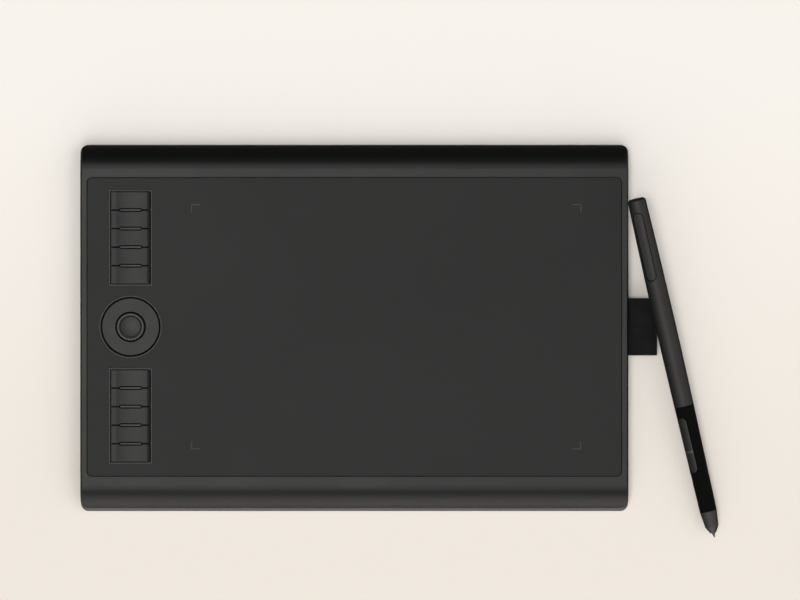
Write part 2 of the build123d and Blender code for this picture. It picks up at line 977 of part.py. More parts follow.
def side_plane(place, angle):
    """A plane through the pen's axis at a place, facing out at an angle to the left of its top line."""
    turn = math.radians(angle)
    return Plane(origin=(0, -place, 0), x_dir=(0, -1, 0), z_dir=(-math.sin(turn), 0, math.cos(turn)))


def side_prism(place, angle, length, width, low=0.0):
    """A round-ended prism through the pen's side, from a height over the axis to well outside it."""
    outline = side_plane(place, angle) * Pos(0, 0, low) * SlotOverall(length, width)
    return extrude(outline, 2 * pen_belly_radius - low)


def side_box(place, angle, length, width, low, high):
    """A box in the pen's side between two heights over the axis."""
    outline = side_plane(place, angle) * Pos(0, 0, low) * Rectangle(length, width)
    return extrude(outline, high - low)


plate_place = plate_start + plate_length / 2
slot_start = barrel_length + pen_slot_place
slot_end = slot_start + pen_slot_length
slot_middle = (slot_start + slot_end) / 2
split_place = slot_start + pen_button_split
front_button_middle = (split_place + pen_split_gap / 2 + slot_end - pen_button_gap) / 2
cell_start = front_button_middle + pen_stem_length / 2 + pen_hook_length + cell_gap
cell_end = cell_start + sensor_cell_length
holder_start = cell_end + holder_gap + nib_travel
coil_start = holder_start + holder_length + coil_gap


def make_pen_barrel():
    """The barrel: a closed tail, a slight belly, a bore, and the shallow recess of its plate."""
    barrel = turned(barrel_outline(0))
    barrel -= turned_tube(pen_bore_radius, 0, pen_tail_wall, barrel_length)
    recess = side_prism(plate_place, plate_angle, plate_length, plate_width)
    barrel -= recess - turned(barrel_outline(plate_recess))
    return barrel


def make_pen_plate():
    """The bare plate that lies in the barrel's recess."""
    outline = side_prism(
        plate_place, plate_angle, plate_length - 2 * plate_gap, plate_width - 2 * plate_gap
    )
    top = turned(barrel_outline(plate_recess - plate_thickness))
    return (outline & top) - turned(barrel_outline(plate_recess))


def make_pen_grip():
    """The rubber sleeve, with the slot for the side buttons."""
    grip = grip_cone(0, barrel_length, grip_end) - grip_cone(grip_wall, barrel_length, grip_end)
    return grip - side_prism(slot_middle, pen_slot_angle, pen_slot_length, pen_slot_width)


def button_spans():
    """The two buttons' ends along the pen: the one nearer the tail, then the one nearer the tip."""
    first = slot_start + pen_button_gap
    last = slot_end - pen_button_gap
    return [
        (first, split_place - pen_split_gap / 2),
        (split_place + pen_split_gap / 2, last),
    ]


def make_grip_core():
    """The stiff tube inside the grip, which joins the barrel to the nose and carries the electronics."""
    core = grip_cone(grip_wall, barrel_length, grip_end)
    core += turned_tube(pen_bore_radius - pen_fit, 0, barrel_length - core_overlap, barrel_length)
    core += turned_tube(spigot_radius, 0, grip_end, grip_end + spigot_length)
    core -= turned_tube(
        core_bore_radius, 0, barrel_length - core_overlap, grip_end + spigot_length
    )
    for start, end in button_spans():
        core -= side_box(
            (start + end) / 2,
            pen_slot_angle,
            pen_stem_length + 2 * pen_stem_gap,
            pen_stem_width + 2 * pen_stem_gap,
            0,
            pen_belly_radius,
        )
    return core


def make_pen_nose():
    """The nose: a taper, a short chamfer to the nib's hole, and a socket for the core's spigot."""
    hole = nib_radius + nib_clearance
    nose = turned(
        Polyline(
            (0, -grip_end),
            (grip_front_radius, -grip_end),
            (nose_front_radius, -(nose_end - nose_chamfer_length)),
            (nose_tip_radius, -nose_end),
            (0, -nose_end),
            close=True,
        )
    )
    socket_end = grip_end + spigot_length + pen_fit
    nose -= turned_tube(spigot_radius + pen_fit, 0, grip_end, socket_end)
    cavity_end = max(socket_end, coil_start + coil_core_length + pen_fit)
    nose -= turned_tube(coil_core_radius + pen_fit, 0, grip_end, cavity_end)
    return nose - turned_tube(hole, 0, grip_end, pen_length)


def make_pen_nib():
    """The nib: a thin rod that tapers outside the nose to a small rounded tip."""
    start = holder_start + holder_length / 2
    taper_start = nose_end + nib_travel + nib_clearance
    shoulder = pen_length - nib_tip_radius
    middle = nib_tip_radius * math.sqrt(0.5)
    return turned(
        [
            Line((0, -start), (nib_radius, -start)),
            Line((nib_radius, -start), (nib_radius, -taper_start)),
            Line((nib_radius, -taper_start), (nib_tip_radius, -shoulder)),
            ThreePointArc((nib_tip_radius, -shoulder), (middle, -shoulder - middle), (0, -pen_length)),
            Line((0, -pen_length), (0, -start)),
        ]
    )


def make_nib_holder():
    """The holder that the nib plugs into, in front of the pressure cell."""
    holder = turned_tube(holder_radius, 0, holder_start, holder_start + holder_length)
    start = holder_start + holder_length / 2
    return holder - turned_tube(nib_radius, 0, start, holder_start + holder_length)


def make_coil_core():
    """The ferrite tube round the nib."""
    return turned_tube(coil_core_radius, coil_core_bore, coil_start, coil_start + coil_core_length)


def make_coil_winding():
    """The winding on the ferrite tube, as one sleeve, within the core's bore."""
    end = min(coil_start + coil_core_length - coil_end_length, grip_end + spigot_length)
    return turned_tube(core_bore_radius - pen_fit, coil_core_radius, coil_start + coil_end_length, end)


def make_pressure_cell():
    """The cell that reads the nib's pressure."""
    return turned_tube(core_bore_radius - pen_fit, 0, cell_start, cell_end)


def pen_board_half_width():
    """The pen board's half width, which just fits the core's bore."""
    return math.sqrt(core_bore_radius**2 - pen_board_drop**2) - pen_fit


def make_pen_board():
    """The pen's long narrow board."""
    return side_box(
        cell_start - pen_board_length / 2,
        pen_slot_angle,
        pen_board_length,
        2 * pen_board_half_width(),
        -pen_board_drop,
        -pen_board_drop + pen_board_thickness,
    )


def make_pen_switches():
    """The two switches on the pen's board, one under each side button."""
    low = -pen_board_drop + pen_board_thickness
    return [
        side_box(
            (start + end) / 2,
            pen_slot_angle,
            pen_switch_width,
            pen_switch_width,
            low,
            low + pen_switch_height,
        )
        for start, end in button_spans()
    ]


def make_pen_button(start, end):
    """One side button: a cap that follows the grip, a stem through the core and hooks behind its wall."""
    middle = (start + end) / 2
    slot = side_prism(
        slot_middle,
        pen_slot_angle,
        pen_slot_length - 2 * pen_button_gap,
        pen_slot_width - 2 * pen_button_gap,
    )
    span = side_box(middle, pen_slot_angle, end - start, pen_slot_width, 0, 2 * pen_belly_radius)
    cap_low = grip_wall - pen_button_travel - pen_button_lift
    skin = grip_cone(-pen_button_rise, barrel_length, grip_end)
    cap = (slot & span & skin) - grip_cone(cap_low, barrel_length, grip_end)
    stem_low = -pen_board_drop + pen_board_thickness + pen_switch_height + pen_button_travel + press_gap
    wall_low = math.sqrt(core_bore_radius**2 - (pen_stem_width / 2) ** 2)
    hook_high = wall_low - pen_button_lift
    stem = side_box(
        middle, pen_slot_angle, pen_stem_length, pen_stem_width, stem_low, grip_front_radius
    )
    hooks = side_box(
        middle,
        pen_slot_angle,
        pen_stem_length + 2 * pen_hook_length,
        pen_stem_width,
        hook_high - pen_hook_thickness,
        hook_high,
    )
    stem = (stem & skin) + hooks
    return cap + stem


def laid(shape):
    """A pen piece, or a list of them, moved from the drawing axis to where the pen lies."""
    if isinstance(shape, list):
        return [pen_place * piece for piece in shape]
    return pen_place * shape


def make_all():
    """Every node's name with its shape or its list of shapes."""
    upper, lower = block_middles
    nodes = {
        "top_case": make_top_case(),
        "bottom_cover": make_bottom_cover(),
        "rubber_feet": make_rubber_feet(),
        "case_screws": make_case_screws(),
        "drawing_sheet": make_drawing_sheet(),
        "area_marks": make_area_marks(),
        "touch_ring": make_touch_ring(),
        "ring_sensor_board": make_ring_board(),
        "ring_button": make_ring_button(),
        "ring_switch": make_ring_switch(),
        "key_divider_upper": make_key_divider(upper),
        "key_divider_lower": make_key_divider(lower),
        "key_switches_upper": make_key_switches(upper),
        "key_switches_lower": make_key_switches(lower),
        "control_board": make_control_board(),
        "board_screws": make_board_screws(),
        "control_chips": make_control_chips(),
        "usb_socket": make_usb_socket(),
        "sensor_board": make_sensor_board(),
        "shield_plate": make_shield_plate(),
        "sensor_ribbon": make_sensor_ribbon(),
        "ring_ribbon": make_ring_ribbon(),
        "pen_loop": make_pen_loop(),
        "loop_anchor": make_loop_anchor(),
    }
    for number, y in enumerate(key_middles(), start=1):
        nodes[f"key_{number}"] = make_key(y)
    pen = {
        "pen_barrel": make_pen_barrel(),
        "pen_plate": make_pen_plate(),
        "pen_grip": make_pen_grip(),
        "grip_core": make_grip_core(),
        "pen_nose": make_pen_nose(),
        "pen_nib": make_pen_nib(),
        "nib_holder": make_nib_holder(),
        "coil_core": make_coil_core(),
        "coil_winding": make_coil_winding(),
        "pressure_cell": make_pressure_cell(),
        "pen_board": make_pen_board(),
        "pen_switches": make_pen_switches(),
    }
    for name, (start, end) in zip(("pen_button_rear", "pen_button_front"), button_spans()):
        pen[name] = make_pen_button(start, end)
    for name, shape in pen.items():
        nodes[name] = laid(shape)
    return nodes


def write_parts():
    """One STEP file for each node, with each of its pieces as a separate solid."""
    os.makedirs("parts", exist_ok=True)
    for name, shape in make_all().items():
        pieces = shape if isinstance(shape, list) else [shape]
        solids = [solid for piece in pieces for solid in piece.solids()]
        export_step(Compound(children=solids) if len(solids) > 1 else solids[0], f"parts/{name}.step")


write_parts()
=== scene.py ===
"""A black graphics tablet with its keys, touch ring and pen, dressed for a photograph from straight above."""

import logging
import math
from dataclasses import dataclass
from enum import Enum

import bpy
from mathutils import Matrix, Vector


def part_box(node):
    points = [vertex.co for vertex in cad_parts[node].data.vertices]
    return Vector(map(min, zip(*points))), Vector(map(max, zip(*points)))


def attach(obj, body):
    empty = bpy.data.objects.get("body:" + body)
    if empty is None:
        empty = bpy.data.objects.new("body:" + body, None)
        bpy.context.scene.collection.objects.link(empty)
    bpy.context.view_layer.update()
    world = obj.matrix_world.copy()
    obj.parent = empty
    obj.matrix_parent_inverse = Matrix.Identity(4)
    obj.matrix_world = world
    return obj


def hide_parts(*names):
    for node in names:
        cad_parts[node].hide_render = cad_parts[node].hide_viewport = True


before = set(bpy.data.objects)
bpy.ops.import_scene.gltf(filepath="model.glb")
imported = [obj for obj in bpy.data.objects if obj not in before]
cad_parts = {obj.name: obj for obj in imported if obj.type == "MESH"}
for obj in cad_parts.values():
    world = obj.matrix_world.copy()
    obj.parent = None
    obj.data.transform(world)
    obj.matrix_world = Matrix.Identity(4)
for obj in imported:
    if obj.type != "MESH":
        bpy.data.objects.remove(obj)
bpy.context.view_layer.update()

log = logging.getLogger("graphics_tablet")

Colour = tuple[float, float, float]
Direction = tuple[float, float, float]
Object = bpy.types.Object
Material = bpy.types.Material
Tree = bpy.types.NodeTree
Node = bpy.types.Node
Output = bpy.types.NodeSocket

MM = 0.001


def rgba(colour: Colour) -> tuple[float, float, float, float]:
    """The colour with full alpha, as a socket takes it."""
    return (*colour, 1.0)


class Board:
    """A node tree with short calls that add, set and join its nodes."""

    def __init__(self, tree: Tree) -> None:
        """Starts on a tree, which is emptied first.

        Args:
            tree: the material's, world's or group's node tree.
        """
        self.tree = tree
        tree.nodes.clear()

    def add(self, kind: str, settings: dict | None = None, **sockets: object) -> Node:
        """Adds one node.

        Args:
            kind: the node's type name without the ShaderNode prefix, or a whole type name.
            settings: the node's own properties.
            sockets: input values or outputs to join, by socket name (_ for a space) or by place (i0, i1).

        Returns:
            The new node.
        """
        name = kind if kind.startswith(("Shader", "NodeGroup")) else f"ShaderNode{kind}"
        node = self.tree.nodes.new(name)
        for key, value in (settings or {}).items():
            setattr(node, key, value)
        for key, value in sockets.items():
            place = int(key[1:]) if key[0] == "i" and key[1:].isdigit() else key.replace("_", " ")
            self.put(node.inputs[place], value)
        return node

    def put(self, socket: bpy.types.NodeSocket, value: object) -> None:
        """Joins an output to the socket, or sets the socket's value.

        Args:
            socket: the input socket.
            value: the output to join, or the value to set.
        """
        if isinstance(value, bpy.types.NodeSocket):
            self.tree.links.new(value, socket)
        else:
            socket.default_value = value

    def math(self, operation: str, first: object, second: object = 0.0) -> Output:
        """The result of one sum on two values."""
        return self.add("Math", {"operation": operation}, i0=first, i1=second).outputs[0]

    def ramp(
        self, value: object, low: float, high: float, to_low: object = 0.0, to_high: object = 1.0
    ) -> Output:
        """A value eased from one range into another.

        Args:
            value: the value or output to map.
            low: where the eased range starts.
            high: where the eased range ends.
            to_low: what low becomes.
            to_high: what high becomes.

        Returns:
            The mapped value's output.
        """
        settings = {"interpolation_type": "SMOOTHSTEP"}
        return self.add("MapRange", settings, i0=value, i1=low, i2=high, i3=to_low, i4=to_high).outputs[0]

    def blend(self, share: object, first: object, second: object) -> Output:
        """A blend of two values by a share from 0 to 1."""
        return self.add("Mix", i0=share, i2=first, i3=second).outputs[0]

    def mix(self, share: object, first: object, second: object) -> Output:
        """A blend of two colours by a share from 0 to 1."""
        return self.add("Mix", {"data_type": "RGBA"}, i0=share, i6=first, i7=second).outputs[2]

    def place(self) -> Output:
        """Where a point lies in the piece's own metres, which moves with the piece."""
        return self.add("TexCoord").outputs["Object"]

    def along(self, direction: Direction) -> Output:
        """How far a point lies along a direction, in metres."""
        settings = {"operation": "DOT_PRODUCT"}
        return self.add("VectorMath", settings, i0=self.place(), i1=direction).outputs["Value"]


class Effect(Enum):
    """The shared surface effects, each a shader node group."""

    GRAIN = "moulded_grain"
    HANDLING = "handling_marks"
    EDGE = "rounded_edge"
    WEAVE = "elastic_weave"
    GAP = "dull_gaps_and_painted_shade"


class Effects:
    """Builds each shared node group once, and places it in materials.

    Attributes:
        made: the groups built so far.
        swell_rate: how often the grain swells, as a share of how often it has a pit.
        patch_edges: the noise between which a polished patch fades in.
        wear_and_painted_light_edges: how far a rounded normal turns, as a cosine, where the edge's wear and
            painted light start and are full.
        round_samples: the rays that find a rounded edge.
        gap_edges: the openness at which a gap starts and is full.
        gap_samples: the rays that find a gap.
        yarn_gap_edges: the yarns' height at which a gap between them starts and is full.
    """

    made: dict[Effect, Tree] = {}
    swell_rate: float = 0.45
    patch_edges: tuple[float, float] = (0.35, 0.68)
    wear_and_painted_light_edges: tuple[float, float] = (0.99, 0.8)
    round_samples: int = 6
    gap_edges: tuple[float, float] = (0.72, 0.42)
    gap_samples: int = 8
    yarn_gap_edges: tuple[float, float] = (0.28, 0.08)

    @classmethod
    def place(cls, board: Board, effect: Effect, **sockets: object) -> Node:
        """Adds a group node for an effect to a material.

        Args:
            board: the material's board.
            effect: which effect to place.
            sockets: the group's input values, by name.

        Returns:
            The group node, whose outputs are the effect's.
        """
        if effect not in cls.made:
            cls.made[effect] = getattr(cls, effect.value)()
        node = board.add("ShaderNodeGroup", {"node_tree": cls.made[effect]})
        for key, value in sockets.items():
            board.put(node.inputs[key.replace("_", " ")], value)
        return node

    @staticmethod
    def start(name: str, takes: tuple[str, ...], gives: dict[str, str]) -> tuple[Board, Node, Node]:
        """A new group tree with its sockets.

        Args:
            name: the group's name.
            takes: names of the float inputs.
            gives: names and socket types of the outputs.

        Returns:
            The group's board, its input node and its output node.
        """
        tree = bpy.data.node_groups.new(name, "ShaderNodeTree")
        board = Board(tree)
        for socket in takes:
            tree.interface.new_socket(name=socket, in_out="INPUT", socket_type="NodeSocketFloat")
        for socket, kind in gives.items():
            tree.interface.new_socket(name=socket, in_out="OUTPUT", socket_type=kind)
        return board, board.add("NodeGroupInput"), board.add("NodeGroupOutput")

    @classmethod
    def moulded_grain(cls) -> Tree:
        """Fine rounded pits, as a spark-eroded mould leaves them. Takes Size in metres.

        Returns:
            The group's tree.
        """
        board, takes, gives = cls.start("moulded_grain", ("Size",), {"Height": "NodeSocketFloat"})
        place = board.place()
        often = board.math("DIVIDE", 1.0, takes.outputs["Size"])
        pits = board.add("TexVoronoi", {"feature": "SMOOTH_F1"}, Vector=place, Scale=often)
        rarely = board.math("MULTIPLY", often, cls.swell_rate)
        swell = board.add("TexNoise", Vector=place, Scale=rarely, Detail=3.0)
        height = board.math("ADD", pits.outputs["Distance"], swell.outputs["Fac"])
        board.put(gives.inputs["Height"], board.math("MULTIPLY", height, 0.5))
        return board.tree

    @classmethod
    def handling_marks(cls) -> Tree:
        """Soft patches where hands have polished the surface. Takes Size in metres, gives a 0 to 1 mask.

        Returns:
            The group's tree.
        """
        board, takes, gives = cls.start("handling_marks", ("Size",), {"Mask": "NodeSocketFloat"})
        often = board.math("DIVIDE", 1.0, takes.outputs["Size"])
        patches = board.add("TexNoise", Vector=board.place(), Scale=often, Detail=4.0, Roughness=0.55)
        board.put(gives.inputs["Mask"], board.ramp(patches.outputs["Fac"], *cls.patch_edges))
        return board.tree

    @classmethod
    def rounded_edge(cls) -> Tree:
        """A small round on sharp edges, and a mask of where they are. Takes Radius in metres.

        Returns:
            The group's tree.
        """
        gives_sockets = {"Normal": "NodeSocketVector", "WearAndPaintedLight": "NodeSocketFloat"}
        board, takes, gives = cls.start("rounded_edge", ("Radius",), gives_sockets)
        settings = {"samples": cls.round_samples}
        round_over = board.add("Bevel", settings, Radius=takes.outputs["Radius"]).outputs["Normal"]
        flat = board.add("NewGeometry").outputs["Normal"]
        turn = board.add("VectorMath", {"operation": "DOT_PRODUCT"}, i0=round_over, i1=flat).outputs["Value"]
        board.put(gives.inputs["Normal"], round_over)
        board.put(gives.inputs["WearAndPaintedLight"], board.ramp(turn, *cls.wear_and_painted_light_edges))
        return board.tree

    @classmethod
    def dull_gaps_and_painted_shade(cls) -> Tree:
        """Where a surface lies in a narrow gap or recess, found by ambient occlusion; the mask darkens the
        base colour as painted shade and makes the surface matt. Takes Reach in metres, gives a 0 to 1 mask.

        Returns:
            The group's tree.
        """
        board, takes, gives = cls.start("dull_gaps_and_painted_shade", ("Reach",), {"Mask": "NodeSocketFloat"})
        near = board.add("AmbientOcclusion", {"samples": cls.gap_samples}, Distance=takes.outputs["Reach"])
        board.put(gives.inputs["Mask"], board.ramp(near.outputs["AO"], *cls.gap_edges))
        return board.tree

    @classmethod
    def elastic_weave(cls) -> Tree:
        """Crossing yarns of woven elastic. Takes Pitch in metres, gives the yarns' height and a gap mask.

        Returns:
            The group's tree.
        """
        outputs = {"Height": "NodeSocketFloat", "Gaps": "NodeSocketFloat"}
        board, takes, gives = cls.start("elastic_weave", ("Pitch",), outputs)
        split = board.add("SeparateXYZ", Vector=board.add("TexCoord").outputs["UV"])
        turn = board.math("DIVIDE", math.tau, takes.outputs["Pitch"])
        along = board.math("SINE", board.math("MULTIPLY", split.outputs["X"], turn))
        across = board.math("SINE", board.math("MULTIPLY", split.outputs["Y"], turn))
        height = board.ramp(board.math("MULTIPLY", along, across), -1.0, 1.0)
        board.put(gives.inputs["Height"], height)
        board.put(gives.inputs["Gaps"], board.ramp(height, *cls.yarn_gap_edges))
        return board.tree


class Finish:
    """What every finish shares: a material with one Principled shader."""

    name: str

    def start(self) -> tuple[Material, Board, Node]:
        """A new material.

        Returns:
            The material, its board and its shader.
        """
        material = bpy.data.materials.new(self.name)
        material.use_nodes = True
        board = Board(material.node_tree)
        shader = board.add("BsdfPrincipled")
        board.add("OutputMaterial", Surface=shader.outputs[0])
        return material, board, shader


@dataclass(frozen=True)
class Moulded(Finish):
    """Moulded plastic or rubber, or a lacquer on it, with patches polished by hands, painted shade in narrow
    gaps and under a lip, edges paler from wear and painted highlight, and a lip or line painted paler as a
    highlight.

    Attributes:
        name: the material's name.
        colour: its base colour.
        roughness: how matt it is where nothing has polished it.
        specular: the shader's specular level.
        metallic: 1 for a lacquer whose gloss takes its own colour.
        edge_tint: how bright that gloss stays where the surface turns away.
        grain_size: the mould's pits.
        grain_depth: how deep they are.
        edge_radius: the small round on sharp edges.
        edge_wear_and_painted_light_gain: how much paler a sharp edge is, from wear and as a painted
            highlight; under 1 the edge is darker, as painted shade.
        patch_size: how far apart the polished patches lie.
        polish: how much less rough they are.
        gap_reach: the width up to which a gap counts as narrow.
        gap_painted_shade: the share of the base colour left in a narrow gap, as painted shade.
        gap_floor: the height under which gaps are fully dulled and painted in shade.
        gap_fade: the height over which that ends.
        gap_share_above: how much of that dulling and painted shade stays over it.
        lip_height: the top of a raised lip, or 0 for none.
        lip_depth: how far down the lip goes.
        lip_fade: the height over which it ends.
        lip_foot_shade: the height of the line of painted shade under it.
        lip_highlight_gain: how much paler the lip is painted, as a painted highlight.
        lip_roughness: how matt it is.
        line_axis: the direction across a painted highlight line, or None for no line.
        line_place: how far along that direction it lies.
        line_width: how wide it is.
        line_fade: how far its edges fade.
        line_highlight_gain: how much paler the line is painted.
    """

    name: str
    colour: Colour
    roughness: float
    specular: float = 0.5
    metallic: float = 0.0
    edge_tint: float = 1.0
    grain_size: float = 0.45 * MM
    grain_depth: float = 0.008 * MM
    edge_radius: float = 0.25 * MM
    edge_wear_and_painted_light_gain: float = 1.5
    patch_size: float = 60 * MM
    polish: float = 0.05
    gap_reach: float = 2.0 * MM
    gap_painted_shade: float = 0.1
    gap_floor: float = 1.0
    gap_fade: float = 0.1 * MM
    gap_share_above: float = 0.4
    lip_height: float = 0.0
    lip_depth: float = 0.05 * MM
    lip_fade: float = 0.05 * MM
    lip_foot_shade: float = 0.0
    lip_highlight_gain: float = 2.0
    lip_roughness: float = 0.33
    line_axis: Direction | None = None
    line_place: float = 0.0
    line_width: float = 0.7 * MM
    line_fade: float = 0.1 * MM
    line_highlight_gain: float = 3.0

    def times(self, gain: float) -> tuple[float, float, float, float]:
        """The base colour made paler or darker, as a socket takes it."""
        return rgba(tuple(min(1.0, part * gain) for part in self.colour))

    def build(self) -> Material:
        """Makes the material.

        Returns:
            The finished material.
        """
        material, board, shader = self.start()
        edge = Effects.place(board, Effect.EDGE, Radius=self.edge_radius)
        grain = Effects.place(board, Effect.GRAIN, Size=self.grain_size)
        marks = Effects.place(board, Effect.HANDLING, Size=self.patch_size)
        # narrow gaps, found by ambient occlusion, take painted shade in the base colour and a matt skin
        gap = Effects.place(board, Effect.GAP, Reach=self.gap_reach)
        height = board.add("SeparateXYZ", Vector=board.place()).outputs["Z"]
        # sharp edges take a paler base colour: edge wear and a painted highlight
        colour = board.mix(edge.outputs["WearAndPaintedLight"], self.times(1.0), self.times(self.edge_wear_and_painted_light_gain))
        gloss = board.ramp(marks.outputs["Mask"], 0.0, 1.0, self.roughness, self.roughness - self.polish)
        low = self.gap_floor - self.gap_fade
        depth = board.ramp(height, low, self.gap_floor, 1.0, self.gap_share_above)
        dull_and_shaded = board.math("MULTIPLY", gap.outputs["Mask"], depth)
        if self.lip_height:
            lip = self.lip(board, height)
            # painted highlight: the raised lip takes a paler base colour and less roughness
            colour = board.mix(lip, colour, self.times(self.lip_highlight_gain))
            gloss = board.blend(lip, gloss, self.lip_roughness)
            # painted shade: a dark matt line at the foot of the lip
            if self.lip_foot_shade:
                dull_and_shaded = board.math("MAXIMUM", dull_and_shaded, self.foot(board, height, lip))
        if self.line_axis:
            # painted highlight: a paler line across the piece
            colour = board.mix(self.line(board), colour, self.times(self.line_highlight_gain))
        # painted shade: gaps, and the line under a lip, take a darker base colour
        board.put(shader.inputs["Base Color"], board.mix(dull_and_shaded, colour, self.times(self.gap_painted_shade)))
        board.put(shader.inputs["Roughness"], board.blend(dull_and_shaded, gloss, 1.0))
        rounded = edge.outputs["Normal"]
        bump = board.add("Bump", Height=grain.outputs[0], Normal=rounded, Distance=self.grain_depth)
        board.put(shader.inputs["Normal"], bump.outputs[0])
        shader.inputs["Specular IOR Level"].default_value = self.specular
        shader.inputs["Specular Tint"].default_value = rgba((self.edge_tint,) * 3)
        shader.inputs["Metallic"].default_value = self.metallic
        return material

    def lip(self, board: Board, height: Output) -> Output:
        """Where the raised lip is.

        Args:
            board: the material's board.
            height: a point's height on the piece.

        Returns:
            A mask from 0 to 1.
        """
        low = self.lip_height - self.lip_depth
        return board.ramp(height, low - self.lip_fade, low)

    def foot(self, board: Board, height: Output, lip: Output) -> Output:
        """Where a line of painted shade lies under the lip.

        Args:
            board: the material's board.
            height: a point's height on the piece.
            lip: the lip's mask.

        Returns:
            A mask from 0 to 1.
        """
        top = self.lip_height - self.lip_depth - self.lip_fade
        return board.math("SUBTRACT", board.ramp(height, top - self.lip_foot_shade, top), lip)

    def line(self, board: Board) -> Output:
        """Where the painted highlight line is.

        Args:
            board: the material's board.

        Returns:
            A mask from 0 to 1.
        """
        away = board.math("ABSOLUTE", board.math("SUBTRACT", board.along(self.line_axis), self.line_place))
        half = self.line_width / 2
        return board.ramp(away, half + self.line_fade, half)


@dataclass(frozen=True)
class Paper(Finish):
    """Pale seamless paper with a faint tooth, a little deeper in tone towards the front.

    Attributes:
        name: the material's name.
        near: its colour in front.
        far: its colour behind.
        near_end: where the colour in front ends, in depth.
        far_end: where the colour behind starts.
        teeth_per_metre: how fine the tooth is.
        tooth_depth: how deep it is.
        roughness: how matt the paper is.
        specular: the shader's specular level.
    """

    name: str
    near: Colour
    far: Colour
    near_end: float = -0.15
    far_end: float = 0.19
    teeth_per_metre: float = 900.0
    tooth_depth: float = 0.01 * MM
    roughness: float = 0.95
    specular: float = 0.05

    def build(self) -> Material:
        """Makes the material.

        Returns:
            The finished material.
        """
        material, board, shader = self.start()
        place = board.place()
        across = board.add("SeparateXYZ", Vector=place).outputs["Y"]
        share = board.ramp(across, self.near_end, self.far_end)
        board.put(shader.inputs["Base Color"], board.mix(share, rgba(self.near), rgba(self.far)))
        tooth = board.add("TexNoise", Vector=place, Scale=self.teeth_per_metre, Detail=2.0)
        bump = board.add("Bump", Height=tooth.outputs["Fac"], Distance=self.tooth_depth)
        board.put(shader.inputs["Normal"], bump.outputs[0])
        shader.inputs["Roughness"].default_value = self.roughness
        shader.inputs["Specular IOR Level"].default_value = self.specular
        return material


@dataclass(frozen=True)
class Printed(Finish):
    """A printed line, slightly broken where the film's grain shows through.

    Attributes:
        name: the material's name.
        ink: the print's colour.
        film: the colour under it.
        roughness: how matt the print is.
        grain_size: the film's pits.
        grain_depth: how deep they are.
        cover_edges: the grain's height at which ink starts to hold and covers fully.
    """

    name: str
    ink: Colour
    film: Colour
    roughness: float = 0.6
    grain_size: float = 0.3 * MM
    grain_depth: float = 0.006 * MM
    cover_edges: tuple[float, float] = (0.25, 0.4)

    def build(self) -> Material:
        """Makes the material.

        Returns:
            The finished material.
        """
        material, board, shader = self.start()
        grain = Effects.place(board, Effect.GRAIN, Size=self.grain_size)
        cover = board.ramp(grain.outputs[0], *self.cover_edges)
        board.put(shader.inputs["Base Color"], board.mix(cover, rgba(self.film), rgba(self.ink)))
        bump = board.add("Bump", Height=grain.outputs[0], Distance=self.grain_depth)
        board.put(shader.inputs["Normal"], bump.outputs[0])
        shader.inputs["Roughness"].default_value = self.roughness
        return material


@dataclass(frozen=True)
class Metal(Finish):
    """Bare or plated metal with fine drawn lines and dulled patches.

    Attributes:
        name: the material's name.
        colour: the metal's colour.
        roughness: how matt it is between the lines.
        line_size: how far apart the lines are.
        line_depth: how deep they are.
        line_stretch: how many times longer than wide they are.
        edge_radius: the small round on sharp edges.
        patch_size: how far apart the dulled patches lie.
        dulling: the share of the colour left in them.
        gloss_loss: how much more matt a line is.
        gloss_edges: the noise between which that comes in.
    """

    name: str
    colour: Colour
    roughness: float
    line_size: float = 0.15 * MM
    line_depth: float = 0.003 * MM
    line_stretch: float = 20.0
    edge_radius: float = 0.1 * MM
    patch_size: float = 4 * MM
    dulling: float = 0.8
    gloss_loss: float = 0.1
    gloss_edges: tuple[float, float] = (0.3, 0.7)

    def build(self) -> Material:
        """Makes the material.

        Returns:
            The finished material.
        """
        material, board, shader = self.start()
        edge = Effects.place(board, Effect.EDGE, Radius=self.edge_radius)
        marks = Effects.place(board, Effect.HANDLING, Size=self.patch_size)
        stretched = board.add("Mapping", Vector=board.place())
        stretched.inputs["Scale"].default_value = (1 / self.line_stretch, 1.0, 1.0)
        lines = board.add("TexNoise", Vector=stretched.outputs[0], Scale=1 / self.line_size, Detail=4.0)
        dulled = tuple(part * self.dulling for part in self.colour)
        board.put(shader.inputs["Base Color"], board.mix(marks.outputs[0], rgba(self.colour), rgba(dulled)))
        matt = self.roughness + self.gloss_loss
        gloss = board.ramp(lines.outputs["Fac"], *self.gloss_edges, self.roughness, matt)
        board.put(shader.inputs["Roughness"], gloss)
        bump = board.add(
            "Bump", Height=lines.outputs["Fac"], Normal=edge.outputs["Normal"], Distance=self.line_depth
        )
        board.put(shader.inputs["Normal"], bump.outputs[0])
        shader.inputs["Metallic"].default_value = 1.0
        return material


